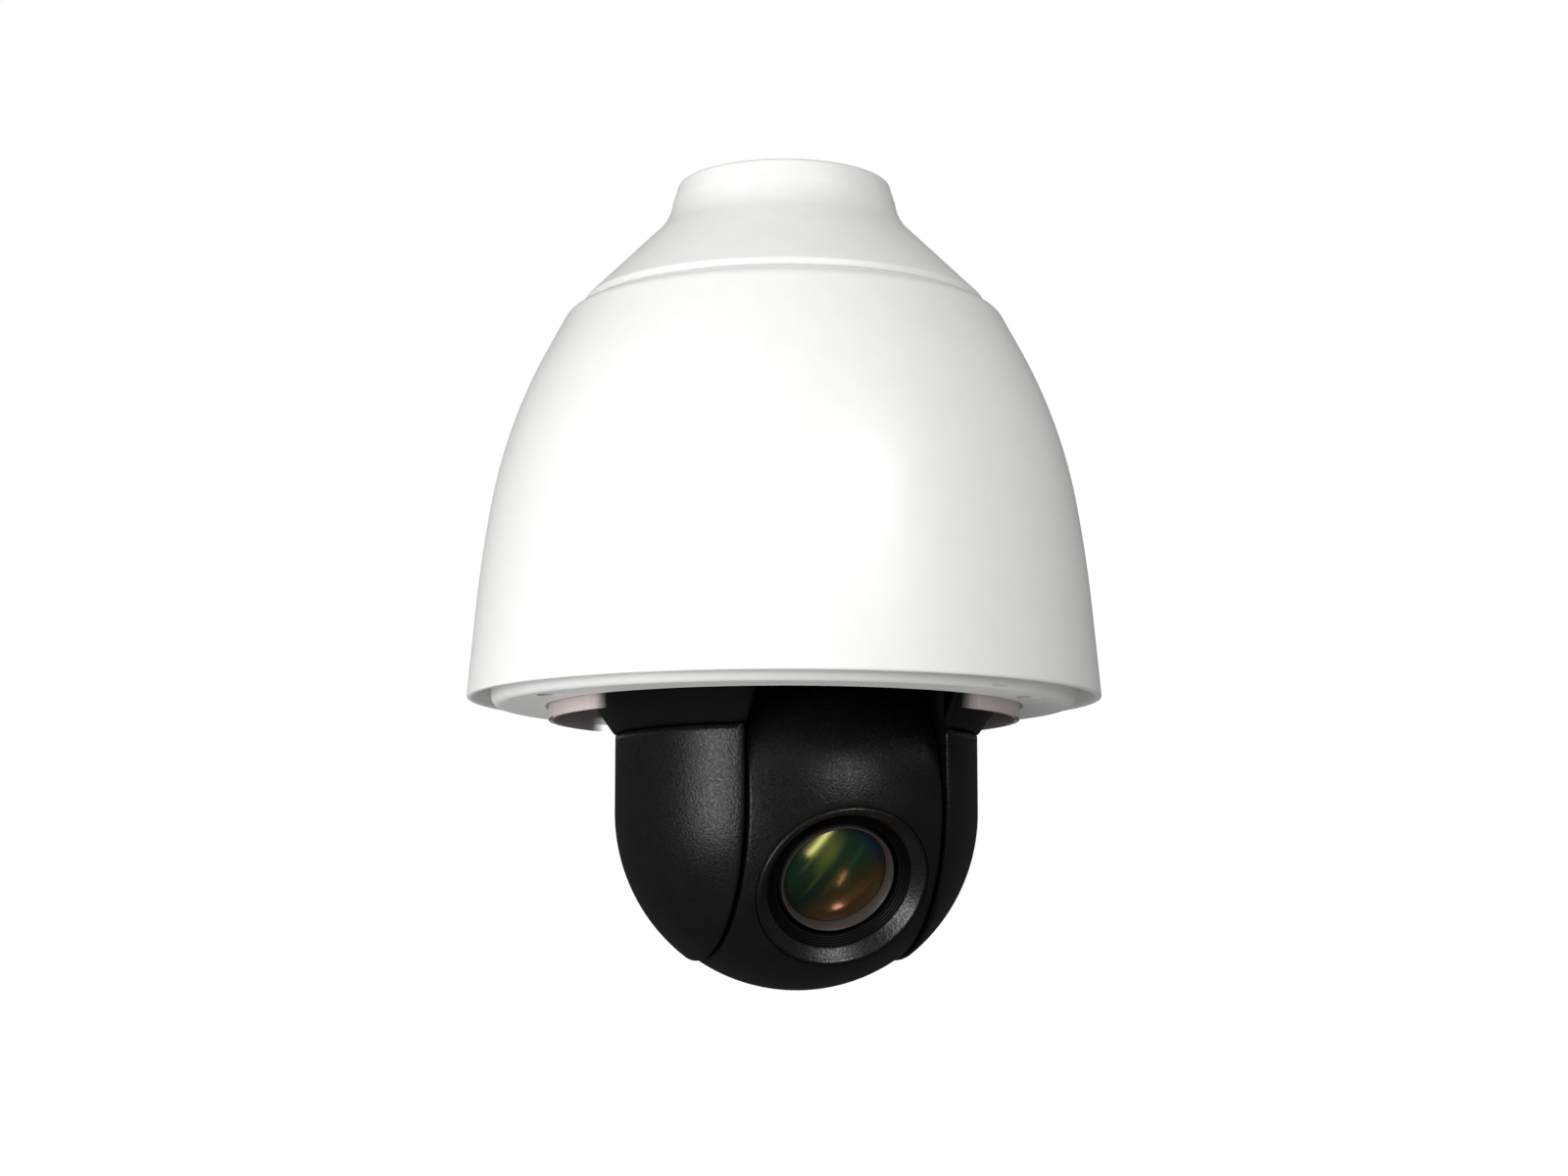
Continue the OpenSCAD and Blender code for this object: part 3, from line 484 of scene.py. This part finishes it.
# %% Neck cap with its thread
thread_minor, thread_depth, pitch = 22.4, 1.48, 2.309
neck_top = -rim_z
bore_foot = 158.0


def pipe_thread(count=288, rows=240):
    """r = root - depth * wave(h / pitch - a / turn), with the depth faded in over one pitch."""
    angle = np.linspace(0, 2 * np.pi, count, endpoint=False)
    h = np.linspace(bore_foot, neck_top, rows)[:, None]
    wave = np.abs(2 * ((h / pitch - angle / (2 * np.pi)) % 1) - 1)
    tooth = np.clip(1.35 * wave - 0.17, 0, 1)
    fade = np.clip((h - bore_foot) / pitch, 0, 1) * np.clip((neck_top - h) / pitch, 0, 1)
    r = thread_minor + thread_depth * (1 - tooth * np.sqrt(fade))
    return np.stack([r * np.cos(angle), r * np.sin(angle), h + 0 * angle], 2), True


bore_r = thread_minor + thread_depth
collar = soften(np.vstack([
    [bore_r, neck_top], arc((36, neck_top - 2), 2, 90, 0, 8), arc((59.4, neck_top - 4.2), 20, 188, 224, 24),
    [[70.8, seam_z + 2.4], [70.8, seam_z], [66, seam_z], [66, seam_z - 3], [61, seam_z - 3],
     [61, seam_z + 5.5], [46, bore_foot], [bore_r, bore_foot]]]), 0.6, closed=False)
neck_cap = make_piece("neck_cap_skin", [lathe(collar, 288, closed=False), pipe_thread()], HOUSING,
                      "housing", ["neck_cap"])
neck_cap.data.materials.append(white_coat)

# %% [markdown]
# ## The pale collar
# A thin clear collar hangs in the opening. Where it is looked at face on it can't be seen,
# and at its sides, where the view runs along the wall, it turns a pale pink. So its opacity
# grows with the angle between the view and the wall.

# %% Collar
collar_foot, collar_top = np.array(reach("pan_seal", UP)) - rim_z
collar_out = reach("pan_seal", (1, 0, 0))[1]
collar_in, collar_low = collar_out - 1.9, collar_out - 0.3      # below the ring it is slimmer
collar_line = [[collar_in, collar_foot], [collar_low, collar_foot], [collar_low, -1.9],
               [collar_out, -1.3], [collar_out, collar_top], [collar_in, collar_top]]


def pale_clear(name):
    """Clear where the view meets the wall, pale pink where it runs along the wall, and clear
    along the foot's own edge."""
    f = Finish(name, Specular_IOR_Level=0.2)
    f.link(f.ramp(f.noise(14, 2), (0.70, 0.60, 0.585), (0.78, 0.68, 0.66)), f.socket("Base Color"))
    f.link(f.ramp(f.noise(5, 2), 0.30, 0.40), f.socket("Roughness"))
    facing = f.tree.nodes.new("ShaderNodeLayerWeight")
    facing.inputs["Blend"].default_value = 0.5
    side = f.ramp(facing.outputs["Facing"], 0.0, 0.9, 0.37, 0.44)
    wall = f.ramp(f.along(UP, (rim_z + collar_foot) * UP), 0.0, 1.0, 0.4, 0.6)
    f.link(f.blend(1.0, side, wall, "MULTIPLY"), f.socket("Alpha"))
    f.bump(f.noise(3, 1), 0.01)
    return f.material


collar_skin = make_piece("collar_skin", [lathe(soften(collar_line, 0.4), 288)], HOUSING, "housing",
                         ["pan_seal"])
collar_skin.data.materials.append(pale_clear("pale_clear"))

# %% [markdown]
# ## The two arm covers
# Each cover is a slice off a bullet: a cylinder that ends in half a ball, cut by the plane
# that faces the ball. Seen along the tilt axis, every section is the same U, only wider or
# narrower, so the cover is a U-shaped path that carries a profile of half-width and place.

# %% Arm covers
edge_round = 0.9


def u_path(top, straight=14, bend=72):
    """The U as three factors: y = width * side, z = width * drop + rise."""
    rise = np.linspace(top, 0, straight)
    swing = np.radians(np.linspace(0, 180, bend))[1:-1]
    side = np.concatenate([np.ones(straight), np.cos(swing), -np.ones(straight)])
    drop = np.concatenate([np.zeros(straight), -np.sin(swing), np.zeros(straight)])
    return side, drop, np.concatenate([rise, 0 * swing, rise[::-1]])


def arm_profile(face, hand, rows=40):
    """Half-width and place of the skin: the bullet from its tip, a round edge, and a narrow
    flat that ends just outside the yoke's plate."""
    flat_at = (face - arm_x) * hand
    centre = np.array([flat_at + edge_round,
                       math.sqrt((arm_r - edge_round) ** 2 - (flat_at + edge_round) ** 2)])
    meet = math.degrees(math.atan2(centre[1], centre[0]))
    plate_w = math.sqrt((arm_r - 2.6) ** 2 - flat_at ** 2)
    profile = np.vstack([arc((0, 0), arm_r, 0, meet, rows), arc(centre, edge_round, meet, 180, 7)[1:],
                         [[flat_at, plate_w + 0.3]]])
    return arm_x + hand * profile[:, 0], profile[:, 1]


def arm_cover(name, node, face, hand):
    """The U-shaped path carrying the profile: every point is width * U, plus the rise."""
    top = reach(node, UP)[1] - TILT_POINT[2]
    side, drop, rise = u_path(top)
    place, width = arm_profile(face, hand)
    grid = np.stack([place + 0 * side[:, None], width * side[:, None],
                     width * drop[:, None] + rise[:, None]], 2)
    cover = make_piece(name, [(grid, False)], YOKE, "head", [node], wall=2.4, sharp=40)
    cover.data.materials.append(black_grain)


arm_cover("left_arm_skin", "arm_cover_left", left_face, -1)
arm_cover("right_arm_skin", "arm_cover_right", right_face, 1)

# %% [markdown]
# ## The skirt above the arms
# A smooth black cone hides where the arms enter the housing. It is open between the arms,
# where the ball reaches up, so each half is an arc that ends at an arm's face: the wider
# the cone, the larger the angle of its arc.

# %% Skirt halves
skirt_low, skirt_high = np.array(reach("pan_skirt", UP)) - TILT_POINT[2]
skirt_r = np.ptp(reach("pan_skirt", ALONG)) / 2
skirt_wall = 2.4
cone_top = skirt_low + 16.5
slot_top = skirt_low + 21.0


def skirt_radius(z):
    """The arm's radius at the foot, growing on a straight line to the rim, then constant."""
    share = np.clip((z - skirt_low) / (cone_top - skirt_low), 0, 1)
    return arm_r + (skirt_r - arm_r) * share


def skirt_half(face, hand, across=64):
    """At height z the arc spans plus and minus acos(face distance / radius)."""
    z = np.concatenate([np.linspace(skirt_low, cone_top, 14), np.linspace(cone_top, slot_top, 5)[1:]])
    dip = np.clip(1 - (z - skirt_low) / 0.8, 0, 1) ** 2 * 0.8      # the foot's small round
    radius = (skirt_radius(z) - dip)[:, None]
    half = np.arccos(np.clip((face - arm_x) * hand / radius, -1, 1))
    swing = half * np.linspace(-1, 1, across)
    return np.stack([arm_x + hand * radius * np.cos(swing), radius * np.sin(swing),
                     z[:, None] + 0 * swing], 2), False


rim_line = [[skirt_r, slot_top], [skirt_r, skirt_high], [skirt_r - skirt_wall, skirt_high],
            [skirt_r - skirt_wall, slot_top]]
upper_ring = lathe(np.array(rim_line), 192)
upper_ring[0][:, :, 0] += arm_x
skirt = make_piece("skirt_skin", [skirt_half(left_face, -1), skirt_half(right_face, 1)], YOKE, "head",
                   wall=2.3, sharp=40)
skirt_ring = make_piece("skirt_ring", [upper_ring], YOKE, "head", ["pan_skirt"])
for part in (skirt, skirt_ring):
    part.data.materials.append(black_plain)

# %% [markdown]
# ## The ball
# The ball is a sphere with two flat sides, so it is easy to say as a surface turned about
# the tilt axis: an angle u around the axis and a place x along it give every point. The
# rear shell is exactly that grid. The front shell has a round recess for the lens. A plain
# grid would have to be cut there and would leave a ragged rim, so its grid runs the other
# way: rings start at the recess and grow into the shell's four-sided outline.

# %% The ball as a turned surface
offset = lens_x - arm_x                     # the lens sits beside the sphere's own centre
side_round = 1.3
seam_gap = 0.32                             # half angle of the line between the shells, degrees
edge_u = 90 - seam_gap                      # where the front shell ends, degrees from the lens


def side_line(side_x):
    """The round edge between the sphere and a flat side: (x, distance from the tilt axis)."""
    hand = 1 if side_x > 0 else -1
    centre = np.array([abs(side_x) - side_round, 0.0])
    centre[1] = math.sqrt((ball_r - side_round) ** 2 - centre[0] ** 2)
    start = math.degrees(math.atan2(centre[1], centre[0]))
    line = np.vstack([arc(centre, side_round, start, 0, 7), np.column_stack([
        np.full(5, abs(side_x)), np.linspace(centre[1], 9.0, 6)[1:]])])
    return line * (hand, 1)


right_line = side_line(ball_right - arm_x)
left_line = side_line(ball_left - arm_x)


def turn_point(u, x, out=None):
    """A point at angle u (degrees, 0 at the lens) and place x from the sphere's centre;
    out is its distance from the tilt axis, or the sphere's own when it isn't given."""
    if out is None:
        out = np.sqrt(ball_r ** 2 - x ** 2)
    u = np.radians(u)
    x, out, u = np.broadcast_arrays(x, out, u)
    return np.stack([x - offset, out * np.sin(u), out * np.cos(u)], -1)


def side_strip(line, u):
    """From the sphere's edge over the round and down the flat side, for each angle u."""
    return turn_point(u[None, :], line[:, :1], line[:, 1:]), False


def seam_lip(u, x, into):
    """The shell's edge at the parting line: a small round, then a step inwards."""
    out = np.sqrt(ball_r ** 2 - x ** 2)
    drop = np.array([0, 0.08, 0.35, 1.6])[:, None]
    lean = np.array([0, 0.7, 1, 1])[:, None] * into
    return turn_point(u + lean, x[None, :], out - drop), False


# %% Front shell
recess_r = reach("lens_hood", ALONG, LENS[0])[1] - 1.5
bevel_z = reach("lens_hood", LOOK, TILT_POINT)[1]
bevel_lean = 0.85                           # how fast the recess opens out
bevel_reach = 4                             # the bevel is never wider than this
samples = 64                                # points along each side of the shell's outline


def front_rings():
    """Rings about the lens axis. The rim is where the bevel r = recess_r + lean (z - bevel_z)
    meets the sphere. A low bead runs round it, with a fine groove outside, and beyond the
    groove the rings blend into the shell's outline."""
    theta = np.radians(np.linspace(-45, 315, 4 * samples, endpoint=False))
    c, s = np.cos(theta), np.sin(theta)

    def dome(r):
        return np.sqrt(ball_r ** 2 - (r * c + offset) ** 2 - (r * s) ** 2)

    rim = np.full(theta.shape, recess_r + 2)
    for _ in range(40):
        rim = recess_r + (dome(rim) - bevel_z) * bevel_lean

    def ring(r, z):
        r, z = r + 0 * theta, z + 0 * theta
        return np.stack([r * c, r * s, z], 1)

    def bend(a, b, d, count=6):
        t = np.linspace(0, 1, count)[:, None, None]
        return (1 - t) ** 2 * a + 2 * t * (1 - t) * b + t ** 2 * d

    start = rim + 1.9
    # The bead and the groove outside it: (distance outwards from the rim, height on the sphere).
    bead = [(-0.25, -0.3), (0.05, 0.1), (0.3, 0.32), (0.65, 0.40), (1.0, 0.32), (1.2, 0.05),
            (1.32, -0.4), (1.42, -0.55), (1.58, -0.55), (1.7, -0.3), (1.78, -0.04)]
    bevel = [ring(recess_r + k * (rim - 0.6 - recess_r),
                  bevel_z + k * (rim - 0.6 - recess_r) / bevel_lean) for k in np.linspace(0.12, 1, 5)]
    inside = [ring(recess_r, z) for z in (bevel_z - 13, bevel_z - 6, bevel_z - 0.5)]
    rows = [np.stack(inside[:2]), bend(inside[2], ring(recess_r, bevel_z), bevel[0]),
            np.stack(bevel[1:]), np.stack([ring(rim + out, dome(rim + out) + up) for out, up in bead]),
            ring(start, dome(start))[None]]

    from_u = np.degrees(np.arctan2(start * s, dome(start)))
    from_x = start * c + offset
    k = np.linspace(-1, 1, samples, endpoint=False)
    to_u = edge_u * np.concatenate([k, 1 + 0 * k, -k, -1 + 0 * k])
    x_mid, x_half = (right_line[0, 0] + left_line[0, 0]) / 2, (right_line[0, 0] - left_line[0, 0]) / 2
    to_x = x_mid + x_half * np.concatenate([1 + 0 * k, -k, -1 + 0 * k, k])
    blend = np.linspace(0, 1, 36)[1:, None]
    rows.append(turn_point((1 - blend) * from_u + blend * to_u, (1 - blend) * from_x + blend * to_x))
    return np.concatenate(rows), True


around_edge = np.linspace(-edge_u, edge_u, samples + 1)
across_edge = np.linspace(left_line[0, 0], right_line[0, 0], samples + 1)
ball_front = make_piece("ball_front_skin", [
    front_rings(), side_strip(right_line, around_edge), side_strip(left_line, around_edge),
    seam_lip(edge_u, across_edge, seam_gap), seam_lip(-edge_u, across_edge, -seam_gap)],
    LENS, "ball", ["ball_front"], wall=1.9, sharp=40)

# %% Rear shell
behind = np.linspace(edge_u + 2 * seam_gap, 270 - seam_gap, 150)
profile_x = np.concatenate([left_line[::-1, 0], across_edge[1:-1], right_line[:, 0]])
profile_out = np.concatenate([left_line[::-1, 1], np.sqrt(ball_r ** 2 - across_edge[1:-1] ** 2),
                              right_line[:, 1]])
shell = turn_point(behind[:, None], profile_x[None, :], profile_out[None, :])
ball_rear = make_piece("ball_rear_skin", [
    (shell, False), seam_lip(behind[0], across_edge, -seam_gap),
    seam_lip(behind[-1], across_edge, seam_gap)], LENS, "ball", ["ball_rear"], wall=1.9, sharp=40)
for part in (ball_front, ball_rear):
    part.data.materials.append(black_grain)

# The bevel's faces look inwards and out of the recess; they get the glossier finish.
ball_front.data.materials.append(black_bevel)
for face in ball_front.data.polygons:
    from_lens = np.array(face.center) / MM - LENS[0]
    radial = from_lens - (from_lens @ LOOK) * LOOK
    inward = -(np.array(face.normal) @ radial) / np.linalg.norm(radial)
    if 0.4 < inward < 0.95 and np.linalg.norm(radial) < recess_r + bevel_reach:
        face.material_index = 1

# %% [markdown]
# ## The lens
# The front element is a domed piece of dark glass; the coloured reflections of its coating are painted into
# its colour. It sits deep in a metal ring, whose inner side is a wide funnel, and a thin line of metal runs
# round the glass's own edge.

# %% Front ring and front element
ring_out = reach("lens_front_ring", ALONG, LENS[0])[1] - 1.2
ring_top = reach("lens_front_ring", LOOK, TILT_POINT)[1] - 0.2
seat = ring_top - 2.7                       # the glass sits this deep in the funnel
glass_r = 17.9
dome_r, dome_rise = 46, 2.3


def cap_line(top, radius, reach_r, count=20):
    """A spherical face from its pole outwards: h = top - R + sqrt(R^2 - r^2)."""
    r = reach_r * np.linspace(0, 1, count)
    return np.stack([r, top - radius + np.sqrt(radius ** 2 - r ** 2)], 1)


ring_line = [[glass_r, seat - 3], [ring_out, seat - 3], [ring_out, ring_top - 0.3],
             [ring_out - 0.25, ring_top], [ring_out - 0.55, ring_top], [glass_r, seat]]
front_ring = make_piece("lens_ring_skin", [lathe(soften(ring_line, 0.12), 192)], LENS, "ball",
                        ["lens_front_ring"])

glass_face = cap_line(seat + dome_rise, dome_r, glass_r - 0.5)
glass_rim = glass_face[-1, 1]
glass_edge = [[glass_r - 0.35, glass_rim - 0.25], [glass_r - 0.35, glass_rim - 1.2],
              [glass_r - 0.1, glass_rim - 1.3], [glass_r - 0.1, seat - 6], [0, seat - 6]]
front_element = make_piece("front_element", [
    lathe(np.vstack([glass_face, glass_edge]), 192, closed=False)],
    LENS, "ball", ["front_glass"], sharp=50)

lip = cap_line(seat + dome_rise + 0.06, dome_r, glass_r - 0.62)[-1]
lip_line = [lip + (0, 0.02), lip + (0.12, -0.03), lip + (0.10, -0.25), lip + (-0.08, -0.2)]
bright_edge = make_piece("lens_edge_line", [lathe(np.array(lip_line), 192)], LENS, "ball")
for part in (front_ring, bright_edge):
    part.data.materials.append(ring_metal)


# %% The glass's painted reflections
def glass_with_painted_reflections(name):
    """A dark element with the coating's reflections painted into its base colour: green turning
    to amber across the lens, a blue edge, paler streaks and darker patches, all laid along the lens's own
    axes. The gloss lies in the coat."""
    f = Finish(name, IOR=1.5, Coat_Weight=1.0, Coat_Roughness=0.15, Coat_IOR=1.6,
               Specular_IOR_Level=0.1)
    middle = LENS[0] + seat * LOOK

    def painted_reflection_spot(a, b, turn, length, width):
        """A mask for one painted reflection: 1 at the place (a, b) on the lens, fading to 0 over an ellipse
        of this half length and half width that is turned by turn degrees; all lengths are parts of the
        glass's radius."""
        c, s = math.cos(math.radians(turn)), math.sin(math.radians(turn))
        place = middle + glass_r * (a * ALONG + b * LENS_UP)
        flat = f.tree.nodes.new("ShaderNodeCombineXYZ")
        f.link(f.along((c * ALONG + s * LENS_UP) / (length * glass_r), place), flat.inputs[0])
        f.link(f.along((c * LENS_UP - s * ALONG) / (width * glass_r), place), flat.inputs[1])
        size = f.tree.nodes.new("ShaderNodeVectorMath")
        size.operation = "LENGTH"
        f.link(flat.outputs[0], size.inputs[0])
        fade = f.ramp(size.outputs["Value"], 1.0, 0.0, 0.0, 1.0)
        fade.node.color_ramp.interpolation = "EASE"
        return fade

    # Painted reflection: the base colour runs from green at one side of the lens to amber at the other.
    across = f.scaled(f.along((0.55 * ALONG - 0.83 * LENS_UP) / glass_r, middle), 0.5, 0.5)
    colour = f.ramp(across, (0.004, 0.030, 0.016), (0.070, 0.024, 0.008), 0.05, 0.98)
    stops = colour.node.color_ramp
    for at, reflection_tint in ((0.25, (0.005, 0.026, 0.012)), (0.45, (0.007, 0.020, 0.007)),
                      (0.58, (0.018, 0.018, 0.005)), (0.78, (0.050, 0.028, 0.005))):
        stop = stops.elements.new(at)
        stop.color = (*reflection_tint, 1)
    # Painted reflections: paler streaks, a blue edge and darker patches laid on the glass in place of what
    # its coating reflects.
    for factor, reflection_tint in (
            (painted_reflection_spot(-0.55, -0.45, 50, 0.80, 0.40), (0.003, 0.010, 0.006)),
            (painted_reflection_spot(0.66, 0.72, -48, 0.70, 0.34), (0.003, 0.014, 0.045)),
            (painted_reflection_spot(0.30, 0.42, 60, 0.55, 0.10), (0.008, 0.045, 0.018)),
            (painted_reflection_spot(-0.05, -0.02, 62, 0.75, 0.12), (0.036, 0.026, 0.008)),
            (painted_reflection_spot(-0.42, -0.05, 64, 0.60, 0.07), (0.030, 0.040, 0.012)),
            (painted_reflection_spot(0.25, -0.45, 48, 0.75, 0.14), (0.080, 0.038, 0.007)),
            (painted_reflection_spot(0.52, -0.30, 50, 0.55, 0.07), (0.075, 0.034, 0.008)),
            (painted_reflection_spot(-0.10, -0.62, 46, 0.50, 0.06), (0.045, 0.024, 0.006)),
            (painted_reflection_spot(-0.22, 0.50, 62, 0.66, 0.24), (0.075, 0.090, 0.014)),
            (painted_reflection_spot(-0.55, 0.36, 60, 0.50, 0.07), (0.050, 0.062, 0.016))):
        colour = f.blend(factor, colour, reflection_tint)
    f.link(colour, f.socket("Base Color"))
    f.link(f.ramp(f.noise(5, 2), 0.16, 0.22), f.socket("Roughness"))
    f.bump(f.noise(6, 1), 0.01)
    return f.material


# The front element's colour holds painted reflections; its highlights come from the strip lamps below.
front_element.data.materials.append(glass_with_painted_reflections("glass_painted_reflections"))

# %% [markdown]
# ## Lamps for single parts
# A pale floor throws light up at the white rim. Black plastic would turn grey in it, so this
# lamp lights only the white parts. Three small coloured strips shine only on the front
# element, where the coat draws them out to soft streaks.

# %% Light for the white rim and for the glass
def shine_only_on(lamps, parts, name):
    """Links the lamps to a group of parts; nothing else receives their light."""
    group = bpy.data.collections.new(name)
    for part in parts:
        group.objects.link(part)
    for lamp in lamps:
        lamp.light_linking.receiver_collection = group


before_glass = tuple((LENS[0] + seat * LOOK) * MM)
strips = [
    softbox("yellow_strip", 20, -0.55, 0.75, (0.05, 0.44), 1.3, before_glass, lights=False,
            colour=(1.0, 0.93, 0.30), turn=-35),
    softbox("amber_strip", 56, -0.86, 0.53, (0.02, 0.16), 0.13, before_glass, lights=False,
            colour=(1.0, 0.50, 0.20), turn=15),
    softbox("rose_strip", 115, -0.68, 0.255, (0.04, 0.22), 0.36, before_glass, lights=False,
            colour=(1.0, 0.42, 0.30), turn=-40)]
shine_only_on(strips, [front_element], "glass")
shine_only_on([floor_bounce], [sunshield, neck_cap, nodes["trim_ring"]], "white_parts")
